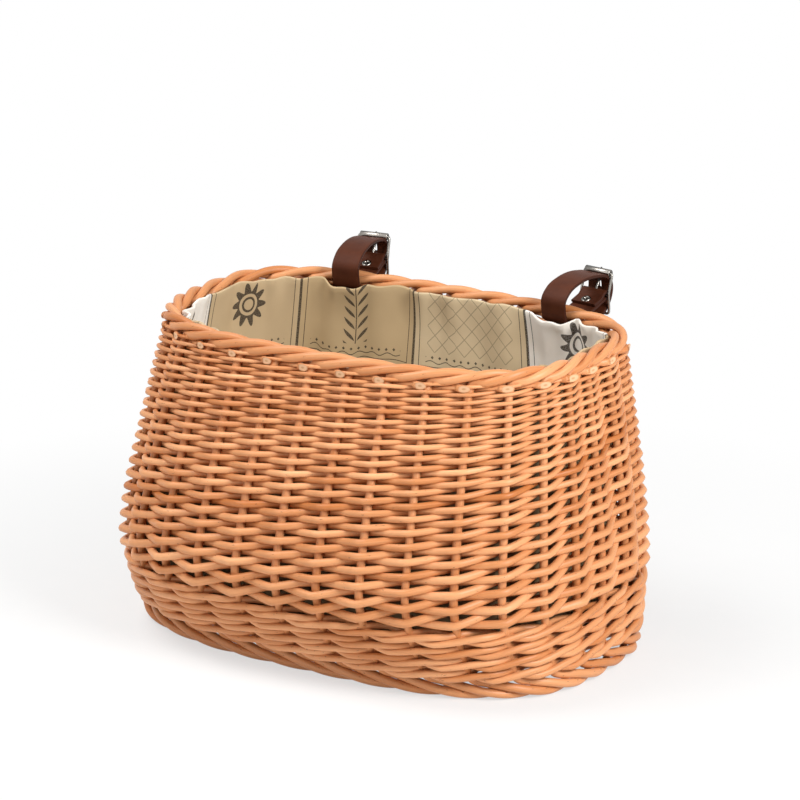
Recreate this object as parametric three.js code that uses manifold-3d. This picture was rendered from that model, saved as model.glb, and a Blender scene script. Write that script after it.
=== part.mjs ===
// Wicker bicycle basket: willow stakes and weave, a cotton lining and two buckled leather straps.
// Millimetres, +Z up, front towards -Y, flat back towards +Y.
import * as THREE from 'three';
import { mergeVertices } from 'three/addons/utils/BufferGeometryUtils.js';
import Module from 'manifold-3d';

const wasm = await Module();
wasm.setup();

// Plan of the stake axes: half width, depth in front of the middle and depth behind it.
// The foot tucks in from the belly's width, so that the base stays inside the wall.
const RIM_HALF_WIDTH = 179;
const RIM_FRONT = 118;
const RIM_BACK = 97;
const BELLY_HALF_WIDTH = 199.5;
const BELLY_FRONT = 173.5;
const BELLY_BACK = 100;
const FOOT_SIDE_TUCK = 1.5;
const FOOT_FRONT = 126;
const FOOT_BACK = 84;
const FOOT_HALF_WIDTH = BELLY_HALF_WIDTH - FOOT_SIDE_TUCK;
const FRONT_SQUARENESS = 3;
const BACK_SQUARENESS = 3.4;

// Heights of the border's middle and of the widest belly, and how the side swells between them
const BORDER_HEIGHT = 249.5;
const BELLY_HEIGHT = 87;
const UPPER_SWELL = 1.26;
const LOWER_SWELL = 1.58;

// Willow rods: radius of each kind, and the gap kept between rods that touch
const STAKE_COUNT = 31;
const STAKE_RADIUS = 2.8;
const WEAVER_RADIUS = 2.7;
const WALE_RADIUS = 2.8;
const ROD_GAP = 0.3;
const WALE_GAP = 0.7;

// Border of three rods a section and foot of two, each twisted round its own middle
const BORDER_RODS = 3;
const BORDER_TWIST = 3.9;
const TIP_DROP = 7.4;
const TIP_REACH = 5.5;
const FOOT_RODS = 2;
const FOOT_TWIST = 3.4;
const FOOT_FLAT = 0.5;

// Side weave, which tightens and thins upwards, and the three wale rods under it
const ROW_COUNT = 42;
const ROW_TIGHTENING = 0.42;
const WEAVER_TAPER = 0.57;
const WEAVE_BELOW_BORDER = 12.6;
const WALE_RODS = 3;
const WALE_STEPS = 76;
const WALE_PITCH = 5.6;
const WALE_HEIGHT = 19.5;

// Base, lining and the straps with their buckles
const BASE_BOTTOM = 20;
const BASE_THICKNESS = 6;
const BASE_STICKS = 5;
const BASE_STICK_RADIUS = 3;
const LINING_THICKNESS = 1.5;
const HEM_BELOW_BORDER = 10.6;
const STRAP_WIDTH = 24;
const STRAP_THICKNESS = 2.5;
const STRAP_PITCHES = 3;
const BUCKLE_WIRE = 1.1;
const ROLLER_RADIUS = 2.4;
const PRONG_RADIUS = 1;
const FIT_GAP = 0.3;

const HALF_TURN = Math.PI;
const QUARTER_TURN = Math.PI / 2;
const UP = new THREE.Vector3(0, 0, 1);

const willow = new THREE.MeshStandardMaterial({ color: 0xcf8f5c, roughness: 0.55, metalness: 0 });
const baseWillow = new THREE.MeshStandardMaterial({ color: 0xc08552, roughness: 0.6, metalness: 0 });
const cotton = new THREE.MeshStandardMaterial({ color: 0xcdbda3, roughness: 0.9, metalness: 0 });
const leather = new THREE.MeshStandardMaterial({ color: 0x3a241b, roughness: 0.5, metalness: 0 });
const nickel = new THREE.MeshStandardMaterial({ color: 0xc8c6c2, roughness: 0.25, metalness: 1 });

const basket = new THREE.Group();

function addPiece(parent, name, geometry, material) {
  const mesh = new THREE.Mesh(geometry, material);
  mesh.name = name;
  parent.add(mesh);
}

// Solids for cuts and joins
function solidOf(geometry) {
  const bare = geometry.clone();
  bare.deleteAttribute('normal');
  bare.deleteAttribute('uv');
  const merged = mergeVertices(bare);
  const vertProperties = new Float32Array(merged.attributes.position.array);
  const triVerts = new Uint32Array(merged.index.array);
  return new wasm.Manifold(new wasm.Mesh({ numProp: 3, vertProperties, triVerts }));
}

function geometryOf(solid) {
  const mesh = solid.getMesh();
  const geometry = new THREE.BufferGeometry();
  geometry.setAttribute('position', new THREE.BufferAttribute(mesh.vertProperties, 3));
  geometry.setIndex(new THREE.BufferAttribute(mesh.triVerts, 1));
  geometry.computeVertexNormals();
  return geometry;
}

// The wall: the surface through the stake axes, straight between a few levels
const FOOT_HEIGHT = FOOT_TWIST + STAKE_RADIUS - FOOT_FLAT;
const SIDE_BOTTOM = WALE_HEIGHT - WALE_RADIUS;
const SIDE_TOP = BORDER_HEIGHT - WEAVE_BELOW_BORDER;
const SIDE_SHARES = [0, 0.08, 0.2, 0.36, 0.65, 1];
const SIDE_LEVELS = SIDE_SHARES.map((share) => THREE.MathUtils.lerp(SIDE_BOTTOM, SIDE_TOP, share));
const WALL_LEVELS = [0, ...SIDE_LEVELS, BORDER_HEIGHT];
const ARC_SAMPLES = 1240;

function planAt(height) {
  const rises = height > BELLY_HEIGHT;
  const span = rises ? BORDER_HEIGHT - BELLY_HEIGHT : BELLY_HEIGHT;
  const share = (Math.abs(height - BELLY_HEIGHT) / span) ** (rises ? UPPER_SWELL : LOWER_SWELL);
  const end = rises ? [RIM_HALF_WIDTH, RIM_FRONT, RIM_BACK] : [FOOT_HALF_WIDTH, FOOT_FRONT, FOOT_BACK];
  const belly = [BELLY_HALF_WIDTH, BELLY_FRONT, BELLY_BACK];
  const [halfWidth, front, back] = belly.map((size, axis) => THREE.MathUtils.lerp(size, end[axis], share));
  return { halfWidth, front, back };
}

function planPoint(plan, angle) {
  const ahead = Math.sin(angle) < 0;
  const power = 2 / (ahead ? FRONT_SQUARENESS : BACK_SQUARENESS);
  const depth = ahead ? plan.front : plan.back;
  const across = Math.sign(Math.cos(angle)) * Math.abs(Math.cos(angle)) ** power;
  const along = Math.sign(Math.sin(angle)) * Math.abs(Math.sin(angle)) ** power;
  return new THREE.Vector2(plan.halfWidth * across, depth * along);
}

// Angle of each place round the basket, counted in stake pitches anticlockwise from the front
function spacedAngles() {
  const belly = planAt(BELLY_HEIGHT);
  const step = (2 * HALF_TURN) / ARC_SAMPLES;
  const angles = Array.from({ length: ARC_SAMPLES + 1 }, (_, i) => i * step - QUARTER_TURN);
  const lengths = [0];
  angles.slice(1).forEach((angle, i) => {
    const chord = planPoint(belly, angle).distanceTo(planPoint(belly, angles[i]));
    lengths.push(lengths[i] + chord);
  });
  return { angles, lengths };
}

const SPACING = spacedAngles();

function angleAt(pitches) {
  const turns = Math.floor(pitches / STAKE_COUNT);
  const length = (pitches / STAKE_COUNT - turns) * SPACING.lengths[ARC_SAMPLES];
  const next = Math.max(1, SPACING.lengths.findIndex((reached) => reached >= length));
  const before = SPACING.lengths[next - 1];
  const share = (length - before) / (SPACING.lengths[next] - before);
  return THREE.MathUtils.lerp(SPACING.angles[next - 1], SPACING.angles[next], share);
}

const LEVEL_PLANS = WALL_LEVELS.map(planAt);

function wallPoint(pitches, height) {
  const angle = angleAt(pitches);
  const above = WALL_LEVELS.findIndex((level) => level >= height);
  const upper = above < 0 ? WALL_LEVELS.length - 1 : Math.max(above, 1);
  const low = WALL_LEVELS[upper - 1];
  const share = (height - low) / (WALL_LEVELS[upper] - low);
  const lower = planPoint(LEVEL_PLANS[upper - 1], angle);
  const plan = lower.lerp(planPoint(LEVEL_PLANS[upper], angle), share);
  return new THREE.Vector3(plan.x, plan.y, height);
}

const PROBE = 0.02;

function alongWall(pitches, height) {
  const ahead = wallPoint(pitches + PROBE, height);
  return ahead.sub(wallPoint(pitches - PROBE, height)).normalize();
}

// A station of a rod: its place and the outward direction there
function wallStation(pitches, offset, height, girth = 1) {
  const point = wallPoint(pitches, height);
  const rise = wallPoint(pitches, height + PROBE).sub(point).normalize();
  const outward = alongWall(pitches, height).cross(rise).normalize();
  return { point: point.addScaledVector(outward, offset), outward, girth };
}

function besideStation(pitches, height, offset, drop) {
  const outward = alongWall(pitches, height).cross(UP).normalize();
  const point = wallPoint(pitches, height).addScaledVector(outward, offset).addScaledVector(UP, drop);
  return { point, outward, girth: 1 };
}

// A place at the same height, moved in far enough to stand that far off the sloping wall below and above
function insidePoint(pitches, height, inset) {
  const outwards = [height - PROBE, height].map((level) => wallStation(pitches, 0, level).outward);
  const leanest = Math.min(...outwards.map(({ x, y }) => Math.hypot(x, y)));
  return besideStation(pitches, height, -inset / leanest, 0).point;
}

function twistStation(pitches, height, radius, turn) {
  return besideStation(pitches, height, radius * Math.cos(turn), radius * Math.sin(turn));
}

// A rod's path: straight between stations, its section turned to face outwards and scaled by its girth
class RodPath extends THREE.Curve {
  constructor(stations) {
    super();
    this.stations = stations;
  }

  getSpacedPoints() {
    return this.stations.map((station) => station.point);
  }

  computeFrenetFrames() {
    const points = this.getSpacedPoints();
    const steps = points.slice(1).map((point, i) => point.clone().sub(points[i]).normalize());
    const tangents = points.map((_, i) => {
      const before = steps[Math.max(i - 1, 0)];
      const after = steps[Math.min(i, steps.length - 1)];
      return before.clone().add(after).normalize();
    });
    const normals = tangents.map((tangent, i) => {
      const { outward, girth } = this.stations[i];
      const across = outward.clone().addScaledVector(tangent, -outward.dot(tangent));
      return across.setLength(girth);
    });
    const binormals = tangents.map((tangent, i) => tangent.clone().cross(normals[i]));
    return { tangents, normals, binormals };
  }
}

function roundSection(radius, sides) {
  const corners = Array.from({ length: sides }, (_, i) => {
    const turn = (2 * HALF_TURN * i) / sides;
    return new THREE.Vector2(radius * Math.cos(turn), radius * Math.sin(turn));
  });
  return new THREE.Shape(corners);
}

function rod(stations, radius, sides) {
  const extrudePath = new RodPath(stations);
  return new THREE.ExtrudeGeometry(roundSection(radius, sides), { steps: stations.length - 1, extrudePath });
}

// Stakes: each runs from the foot up the side and into the border, where it ends in a cut tip
const STAKE_SIDES = 4;
const STRAP_PLACES = [-STRAP_PITCHES, STRAP_PITCHES].map((pitches) => STAKE_COUNT / 2 + pitches);
const FOOT_PLACES = [5 / 3, 4 / 3, 1, 2 / 3, 1 / 3];
const FOOT_TURN = (2 * HALF_TURN) / FOOT_RODS;
const BORDER_PLACES = [0, 0.5, 1, 1.5, 2, 2.4];
const BORDER_TURN = (2 * HALF_TURN) / BORDER_RODS;
const TIP_PLACES = [2.62, 2.76];
const floor = new THREE.BoxGeometry(4 * BELLY_HALF_WIDTH, 4 * BELLY_FRONT, BORDER_HEIGHT);
floor.translate(0, 0, -BORDER_HEIGHT / 2);
const floorSolid = solidOf(floor);

function stakeStations(index) {
  const foot = FOOT_PLACES.map((pitches) => {
    const turn = QUARTER_TURN - FOOT_TURN * pitches;
    return twistStation(index + pitches, FOOT_HEIGHT, FOOT_TWIST, turn);
  });
  const side = SIDE_LEVELS.map((height) => wallStation(index, 0, height));
  const border = BORDER_PLACES.map((pitches) => {
    const turn = BORDER_TURN * pitches - QUARTER_TURN;
    return twistStation(index + pitches, BORDER_HEIGHT, BORDER_TWIST, turn);
  });
  const [under, end] = TIP_PLACES;
  const inStrap = STRAP_PLACES.some((place) => Math.abs(index + end - place) < 0.5);
  const tip = inStrap ? [] : [
    besideStation(index + under, BORDER_HEIGHT, 0, -TIP_DROP),
    besideStation(index + end, BORDER_HEIGHT, TIP_REACH, -TIP_DROP),
  ];
  return [...foot, ...side, ...border, ...tip];
}

for (let index = 0; index < STAKE_COUNT; index += 1) {
  const whole = solidOf(rod(stakeStations(index), STAKE_RADIUS, STAKE_SIDES));
  const name = `stake_${String(index + 1).padStart(2, '0')}`;
  addPiece(basket, name, geometryOf(whole.subtract(floorSolid)), willow);
}

// Woven rods have three sides, one corner outwards, so they stand off a stake more inside than outside
const WEAVER_SIDES = 3;

function wovenStation(pitches, height, radius, girth, gap, outside) {
  const reach = outside ? radius * girth * Math.cos(HALF_TURN / WEAVER_SIDES) : radius * girth;
  const offset = STAKE_RADIUS + reach + gap;
  return wallStation(pitches, outside ? offset : -offset, height, girth);
}

// Wale: three rods that start a third of the way round from each other, over two stakes and behind one
const WALE_RISE = (WALE_RODS * WALE_PITCH) / STAKE_COUNT;

for (let index = 0; index < WALE_RODS; index += 1) {
  const start = Math.round((index * STAKE_COUNT) / WALE_RODS);
  const stations = Array.from({ length: WALE_STEPS + 1 }, (_, step) => {
    const outside = (start + step + index) % WALE_RODS !== 0;
    return wovenStation(start + step, WALE_HEIGHT + WALE_RISE * step, WALE_RADIUS, 1, WALE_GAP, outside);
  });
  addPiece(basket, `wale_${index + 1}`, rod(stations, WALE_RADIUS, WEAVER_SIDES), willow);
}

// Side weave: one rod that winds up the basket, in front of one stake and behind the next
const WEAVE_BOTTOM = WALE_HEIGHT + WALE_RISE * WALE_STEPS + WALE_RADIUS + WEAVER_RADIUS - ROD_GAP;

function weaveStations() {
  const steps = ROW_COUNT * STAKE_COUNT;
  return Array.from({ length: steps + 1 }, (_, step) => {
    const share = step / steps;
    const climb = share * (1 + ROW_TIGHTENING * (1 - share));
    const height = THREE.MathUtils.lerp(WEAVE_BOTTOM, SIDE_TOP, climb);
    return wovenStation(step, height, WEAVER_RADIUS, 1 - WEAVER_TAPER * share, ROD_GAP, step % 2 === 0);
  });
}

addPiece(basket, 'side_weave', rod(weaveStations(), WEAVER_RADIUS, WEAVER_SIDES), willow);

// Base: a panel that the wale holds round its edge, with sticks let into its underside
const WALL_INSIDE = STAKE_RADIUS + 1.5 * WALE_RADIUS + WALE_GAP + FIT_GAP;
const BASE_POINTS = 40;

function basePanel() {
  const outline = Array.from({ length: BASE_POINTS }, (_, i) => {
    const { x, y } = insidePoint((i * STAKE_COUNT) / BASE_POINTS, BASE_BOTTOM, WALL_INSIDE);
    return new THREE.Vector2(x, y);
  });
  const sizes = { depth: BASE_THICKNESS, bevelEnabled: false };
  return new THREE.ExtrudeGeometry(new THREE.Shape(outline), sizes).translate(0, 0, BASE_BOTTOM);
}

const STICK_SIDES = 6;
const STICK_LENGTH = 1.62 * FOOT_HALF_WIDTH;
const STICK_SPACING = (FOOT_FRONT + FOOT_BACK) / (BASE_STICKS + 2);

function baseStick(index, radius, length) {
  const stick = new THREE.CylinderGeometry(radius, radius, length, STICK_SIDES);
  const across = (FOOT_BACK - FOOT_FRONT) / 2 + (index - (BASE_STICKS - 1) / 2) * STICK_SPACING;
  return stick.rotateZ(QUARTER_TURN).translate(0, across, BASE_BOTTOM);
}

let panelSolid = solidOf(basePanel());
for (let index = 0; index < BASE_STICKS; index += 1) {
  const groove = baseStick(index, BASE_STICK_RADIUS + FIT_GAP, STICK_LENGTH + 2 * FIT_GAP);
  panelSolid = panelSolid.subtract(solidOf(groove));
  addPiece(basket, `base_stick_${index + 1}`, baseStick(index, BASE_STICK_RADIUS, STICK_LENGTH), willow);
}
addPiece(basket, 'base_panel', geometryOf(panelSolid), baseWillow);

// Lining: a cotton bag that lies on the base and follows the weave up to its hem
const LINING_SEGMENTS = 32;
const LINING_SHARES = [0.2, 0.36, 0.65];
const LINING_BOTTOM = BASE_BOTTOM + BASE_THICKNESS + FIT_GAP;
const HEM_HEIGHT = BORDER_HEIGHT - HEM_BELOW_BORDER;

function liningSolid(profile) {
  const outline = profile.map(({ height, reach }) => new THREE.Vector2(reach, height));
  const lathe = new THREE.LatheGeometry(outline, LINING_SEGMENTS);
  const places = lathe.attributes.position;
  for (let i = 0; i < places.count; i += 1) {
    const { height, inset, reach } = profile[i % profile.length];
    const pitches = (Math.floor(i / profile.length) * STAKE_COUNT) / LINING_SEGMENTS;
    const { x, y } = insidePoint(pitches, height, inset);
    places.setXYZ(i, reach * x, reach * y, height);
  }
  return solidOf(lathe);
}

const LINING_INSIDE = WALL_INSIDE + LINING_THICKNESS;
const LINING_LEVELS = [
  LINING_BOTTOM, ...SIDE_LEVELS.filter((_, i) => LINING_SHARES.includes(SIDE_SHARES[i])), HEM_HEIGHT,
];

function liningWall() {
  const outside = LINING_LEVELS.map((height) => ({ height, inset: WALL_INSIDE, reach: 1 }));
  const inside = LINING_LEVELS.map((height) => ({ height, inset: LINING_INSIDE, reach: 1 }));
  return liningSolid([...outside, ...inside.toReversed(), outside[0]]);
}

function liningFloor() {
  const inset = LINING_INSIDE + FIT_GAP;
  const faces = [LINING_BOTTOM, LINING_BOTTOM + LINING_THICKNESS];
  const [bottom, top] = faces.map((height) => [{ height, inset, reach: 0 }, { height, inset, reach: 1 }]);
  return liningSolid([...bottom, ...top.toReversed()]);
}
addPiece(basket, 'lining_wall', geometryOf(liningWall()), cotton);
addPiece(basket, 'lining_floor', geometryOf(liningFloor()), cotton);

// Straps: drawn in the plane across the border, Y outwards and Z up from the border's middle
const HALF_STRAP = STRAP_THICKNESS / 2;
const SEAT_RADIUS = BORDER_TWIST + STAKE_RADIUS + 2 * FIT_GAP + HALF_STRAP;
const ROLLER_AXLE = new THREE.Vector2(45, 25.5);
const CENTRE_BAR = new THREE.Vector2(40.9, 8.1);
const LOWER_BAR = new THREE.Vector2(41.6, -7.2);
const FOLD_RADIUS = BUCKLE_WIRE + FIT_GAP + HALF_STRAP;
const RUN_SLOPE = CENTRE_BAR.angle() + Math.asin((SEAT_RADIUS - FOLD_RADIUS) / CENTRE_BAR.length());
const RUN_DIRECTION = new THREE.Vector2(Math.cos(RUN_SLOPE), Math.sin(RUN_SLOPE));
const RUN_UPWARD = new THREE.Vector2(-RUN_DIRECTION.y, RUN_DIRECTION.x);
const RUN_END = CENTRE_BAR.clone().addScaledVector(RUN_UPWARD, -FOLD_RADIUS);
const RIVET_BACK = 12;
const RIVET_HEAD = 4;
const RETURN_BACK = 16.5;
const LAYER_STEP = STRAP_THICKNESS + ROD_GAP;
const SEAT_LEAVES = 0.95 * HALF_TURN;
const FOLD_WRAP = 0.56;
const ARC_STEPS = 7;
const LOOP_STEPS = 18;
const TAIL_POINTS = [
  [34.9, -11.8], [38.3, -6.4], [43.3, -0.9], [47.1, 6.3], [48.2, 13.2], [46.2, 19.9], [41, 23],
];
const TOP_POINTS = [[31, 25.9], [19, 26.8], [6, 25.2], [-5, 20], [-11.3, 12], [-11.2, 5]];

function arcPoints(centre, radius, from, to, steps) {
  return Array.from({ length: steps + 1 }, (_, i) => {
    const turn = THREE.MathUtils.lerp(from, to, i / steps);
    return new THREE.Vector2(Math.cos(turn), Math.sin(turn)).multiplyScalar(radius).add(centre);
  });
}

// Middle line from the tail, under the roller, over the top, round the border and round the centre bar
function strapLine() {
  const seatEnd = RUN_SLOPE + 1.5 * HALF_TURN;
  const seat = arcPoints(new THREE.Vector2(), SEAT_RADIUS, SEAT_LEAVES, seatEnd, ARC_STEPS);
  const loop = [...TAIL_POINTS, ...TOP_POINTS].map(([y, z]) => new THREE.Vector2(y, z));
  const curve = new THREE.SplineCurve([...loop, seat[0]]);
  const foldEnd = RUN_SLOPE + FOLD_WRAP * HALF_TURN;
  const fold = arcPoints(CENTRE_BAR, FOLD_RADIUS, RUN_SLOPE - QUARTER_TURN, foldEnd, ARC_STEPS - 2);
  const layer = [RIVET_BACK - RIVET_HEAD - 1, RETURN_BACK].map((back) =>
    RUN_END.clone().addScaledVector(RUN_DIRECTION, -back).addScaledVector(RUN_UPWARD, LAYER_STEP));
  return [...curve.getPoints(LOOP_STEPS), ...seat.slice(1), ...fold, ...layer];
}

function ribbonShape(line) {
  const sides = line.map((point, i) => {
    const before = line[Math.max(i - 1, 0)];
    const after = line[Math.min(i + 1, line.length - 1)];
    const into = point.clone().sub(before).normalize();
    const out = after.clone().sub(point).normalize();
    const along = into.add(out).normalize();
    const left = new THREE.Vector2(-along.y, along.x).multiplyScalar(HALF_STRAP);
    return [point.clone().add(left), point.clone().sub(left)];
  });
  return new THREE.Shape([...sides.map(([left]) => left), ...sides.map(([, right]) => right).reverse()]);
}

// Turns an outline drawn in Y and Z into a slab centred on X
function slab(shape, width) {
  const geometry = new THREE.ExtrudeGeometry(shape, { depth: width, bevelEnabled: false, curveSegments: 4 });
  const outlineAxes = [new THREE.Vector3(0, 1, 0), UP, new THREE.Vector3(1, 0, 0)];
  return geometry.applyMatrix4(new THREE.Matrix4().makeBasis(...outlineAxes)).translate(-width / 2, 0, 0);
}

function sector(centre, inner, outer, from, to) {
  const shape = new THREE.Shape();
  shape.absarc(centre.x, centre.y, outer, from, to, false);
  shape.absarc(centre.x, centre.y, inner, to, from, true);
  return shape;
}

// Bars and pins along X
function bar(centre, radius, length, sides) {
  const cylinder = new THREE.CylinderGeometry(radius, radius, length, sides);
  return cylinder.rotateZ(QUARTER_TURN).translate(0, centre.x, centre.y);
}

const PRONG_SLOT = 2 * PRONG_RADIUS + 4 * FIT_GAP;
const PRONG_EYE = 2.7;

// Slots that the prong lifts through: radii from the centre bar, and angles round it
const TAIL_SLOT = [6.2, 15];
const TAIL_SWEEP = [23, 72].map(THREE.MathUtils.degToRad);
const FOLD_SLOT = [0.5, 5.5];
const FOLD_SWEEP = [5, 86].map(THREE.MathUtils.degToRad);
const EYE_SLOT = PRONG_SLOT + 2;
const ROUND_SIDES = 10;
const RIVET_SHANK = 1.6;
const RIVET_WASHER = 3.2;
const RIVET_PLATE = 0.8;
const RIVET_PLACE = RUN_END.clone().addScaledVector(RUN_DIRECTION, -RIVET_BACK);

// Sets a revolved piece's axis across the lower run of the strap, at the rivet
function acrossRun(geometry) {
  return geometry.rotateX(RUN_SLOPE + QUARTER_TURN).translate(0, RIVET_PLACE.x, RIVET_PLACE.y);
}

function strapSolid() {
  const rivetHole = RIVET_SHANK + FIT_GAP;
  const cuts = [
    slab(sector(CENTRE_BAR, ...TAIL_SLOT, ...TAIL_SWEEP), PRONG_SLOT),
    slab(sector(CENTRE_BAR, ...FOLD_SLOT, ...FOLD_SWEEP), EYE_SLOT),
    bar(CENTRE_BAR, PRONG_EYE + FIT_GAP, EYE_SLOT, 8),
    acrossRun(new THREE.CylinderGeometry(rivetHole, rivetHole, 4 * LAYER_STEP, ROUND_SIDES)),
  ];
  const whole = solidOf(slab(ribbonShape(strapLine()), STRAP_WIDTH));
  return cuts.reduce((solid, cut) => solid.subtract(solidOf(cut)), whole);
}

// Buckle: a wire frame of three bars, a roller on the top bar and a prong on the middle one
const WIRE_SIDES = 6;
const FRAME_HALF_WIDTH = STRAP_WIDTH / 2 + BUCKLE_WIRE + 2 * FIT_GAP;
const CORNER_CUT = 1.2;
const WIRE_ENDS = 0.4;

// One wire bent round the frame, its ends meeting inside the roller, with the middle bar joined to its sides
function frameSolid() {
  const half = FRAME_HALF_WIDTH;
  const tuck = half - CORNER_CUT;
  const upper = ROLLER_AXLE.clone().lerp(CENTRE_BAR, CORNER_CUT / ROLLER_AXLE.distanceTo(CENTRE_BAR));
  const lower = LOWER_BAR.clone().lerp(CENTRE_BAR, CORNER_CUT / LOWER_BAR.distanceTo(CENTRE_BAR));
  const down = [
    [WIRE_ENDS / 2, ROLLER_AXLE], [tuck, ROLLER_AXLE], [half, upper],
    [half, CENTRE_BAR], [half, lower], [tuck, LOWER_BAR],
  ];
  const up = down.toReversed().map(([x, place]) => [-x, place]);
  const stations = [...down, ...up].map(([x, place]) => (
    { point: new THREE.Vector3(x, place.x, place.y), outward: new THREE.Vector3(0, 1, 0), girth: 1 }));
  const wire = solidOf(rod(stations, BUCKLE_WIRE, WIRE_SIDES));
  return wire.add(solidOf(bar(CENTRE_BAR, BUCKLE_WIRE, 2 * half, WIRE_SIDES)));
}

function roller() {
  const bore = BUCKLE_WIRE + FIT_GAP;
  const half = STRAP_WIDTH / 2 + FIT_GAP;
  const profile = [[bore, -half], [ROLLER_RADIUS, -half], [ROLLER_RADIUS, half], [bore, half], [bore, -half]];
  const tube = new THREE.LatheGeometry(profile.map((point) => new THREE.Vector2(...point)), ROUND_SIDES);
  return tube.rotateZ(QUARTER_TURN).translate(0, ROLLER_AXLE.x, ROLLER_AXLE.y);
}

const PRONG_POINTS = [[42.2, 10.2], [43.9, 14], [47.7, 19.6], [48.7, 24.9], [48.5, 27.9]];

function prongSolid() {
  const bore = BUCKLE_WIRE + ROD_GAP;
  const width = PRONG_SLOT - FIT_GAP;
  const eye = solidOf(bar(CENTRE_BAR, PRONG_EYE, width, ROUND_SIDES));
  const hole = solidOf(bar(CENTRE_BAR, bore, 2 * width, ROUND_SIDES));
  const stations = PRONG_POINTS.map(([y, z]) => (
    { point: new THREE.Vector3(0, y, z), outward: new THREE.Vector3(1, 0, 0), girth: 1 }));
  return solidOf(rod(stations, PRONG_RADIUS, WIRE_SIDES)).add(eye.subtract(hole));
}

function rivet() {
  const top = HALF_STRAP + LAYER_STEP + ROD_GAP;
  const bottom = -HALF_STRAP - ROD_GAP;
  const outline = [
    [0, bottom - RIVET_PLATE], [RIVET_WASHER, bottom - RIVET_PLATE], [RIVET_WASHER, bottom],
    [RIVET_SHANK, bottom], [RIVET_SHANK, top], [RIVET_HEAD, top],
    [0.85 * RIVET_HEAD, top + RIVET_PLATE], [0, top + 1.3 * RIVET_PLATE],
  ];
  return acrossRun(new THREE.LatheGeometry(outline.map((point) => new THREE.Vector2(...point)), ROUND_SIDES));
}

['right', 'left'].forEach((side, i) => {
  const seat = besideStation(STRAP_PLACES[i], BORDER_HEIGHT, 0, 0);
  const strap = new THREE.Group();
  strap.position.copy(seat.point);
  strap.rotation.z = Math.atan2(seat.outward.y, seat.outward.x) - QUARTER_TURN;
  addPiece(strap, `${side}_strap`, geometryOf(strapSolid()), leather);
  addPiece(strap, `${side}_buckle_frame`, geometryOf(frameSolid()), nickel);
  addPiece(strap, `${side}_roller`, roller(), nickel);
  addPiece(strap, `${side}_prong`, geometryOf(prongSolid()), nickel);
  addPiece(strap, `${side}_rivet`, rivet(), nickel);
  basket.add(strap);
});

// The origin is under the middle of the whole, on the surface that it stands on
basket.updateMatrixWorld(true);
const middle = new THREE.Box3().setFromObject(basket, true).getCenter(new THREE.Vector3());
basket.position.set(-middle.x, -middle.y, 0);

export default basket;
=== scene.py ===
import bpy
import numpy as np
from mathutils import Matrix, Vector


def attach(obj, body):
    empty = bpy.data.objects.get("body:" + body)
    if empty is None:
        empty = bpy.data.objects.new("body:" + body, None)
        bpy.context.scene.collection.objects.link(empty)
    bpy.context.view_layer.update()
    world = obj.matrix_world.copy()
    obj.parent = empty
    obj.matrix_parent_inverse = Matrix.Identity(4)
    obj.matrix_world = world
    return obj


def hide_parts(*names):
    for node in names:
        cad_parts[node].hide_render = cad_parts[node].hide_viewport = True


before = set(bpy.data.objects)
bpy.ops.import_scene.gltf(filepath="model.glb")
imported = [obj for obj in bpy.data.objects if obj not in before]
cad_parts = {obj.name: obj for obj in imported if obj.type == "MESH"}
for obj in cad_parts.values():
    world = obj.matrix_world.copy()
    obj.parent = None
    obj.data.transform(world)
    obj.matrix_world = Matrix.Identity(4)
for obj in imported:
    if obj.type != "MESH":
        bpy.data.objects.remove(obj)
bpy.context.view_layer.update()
dice = np.random.default_rng(31)

# Stakes: thirty-one peeled willow rods, the uprights of the basket. Each starts in the twisted
# foot, climbs the swelling side and is bent down into the border of three rods, where its slanting
# cut end shows. A stake that ends under a strap runs on in the border and shows no end.
STAKES = 31
STAKE_GIRTH = 0.0032
BORDER_GIRTH = 0.0033
TIP_GIRTH = 0.0028
FOOT_GIRTH = 0.0034
ROD_SIDES = 12
GRAIN_APART = 3.1
MIDDLE = np.array([0.000024, 0.017337])
RIM = np.array([0.179, 0.118, 0.097])
BELLY = np.array([0.1995, 0.1735, 0.100])
FOOT = np.array([0.198, 0.126, 0.084])
RIM_HEIGHT = 0.2495
BELLY_HEIGHT = 0.087
RISE_POWER = 1.26
FALL_POWER = 1.58
FRONT_SQUARENESS = 3.0
BACK_SQUARENESS = 3.4
PLAN_STEPS = 4001
NEAR_PLACE = 0.02
NEAR_HEIGHT = 2e-4
ACROSS = np.array([1.0, 0.0, 0.0])
UP = np.array([0.0, 0.0, 1.0])


def wall_plan(height):
    """Half width, depth in front and depth behind at a height: the belly's, moved towards the
    rim's or the foot's by a power of the share of the way there."""
    height = np.asarray(height, float)[..., None]
    rise = np.clip((height - BELLY_HEIGHT) / (RIM_HEIGHT - BELLY_HEIGHT), 0, 1.2) ** RISE_POWER
    fall = np.clip((BELLY_HEIGHT - height) / BELLY_HEIGHT, 0, 1.2) ** FALL_POWER
    return BELLY + rise * (RIM - BELLY) + fall * (FOOT - BELLY)


def plan_point(plan, angle):
    """A point of a squared oval: the half width times the cosine to a power of two over the
    squareness, and the depth times the sine to the same power. The front is less square than
    the back."""
    across, along = np.cos(angle), np.sin(angle)
    power = 2 / np.where(along < 0, FRONT_SQUARENESS, BACK_SQUARENESS)
    depth = np.where(along < 0, plan[..., 1], plan[..., 2])
    x = plan[..., 0] * np.sign(across) * np.abs(across) ** power
    y = depth * np.sign(along) * np.abs(along) ** power
    return np.stack([x, y], -1)


angles = np.linspace(-0.5 * np.pi, 1.5 * np.pi, PLAN_STEPS)
belly_line = plan_point(np.broadcast_to(BELLY, (PLAN_STEPS, 3)), angles)
belly_steps = np.linalg.norm(np.diff(belly_line, axis=0), axis=1)
belly_lengths = np.concatenate([[0], np.cumsum(belly_steps)])


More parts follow.
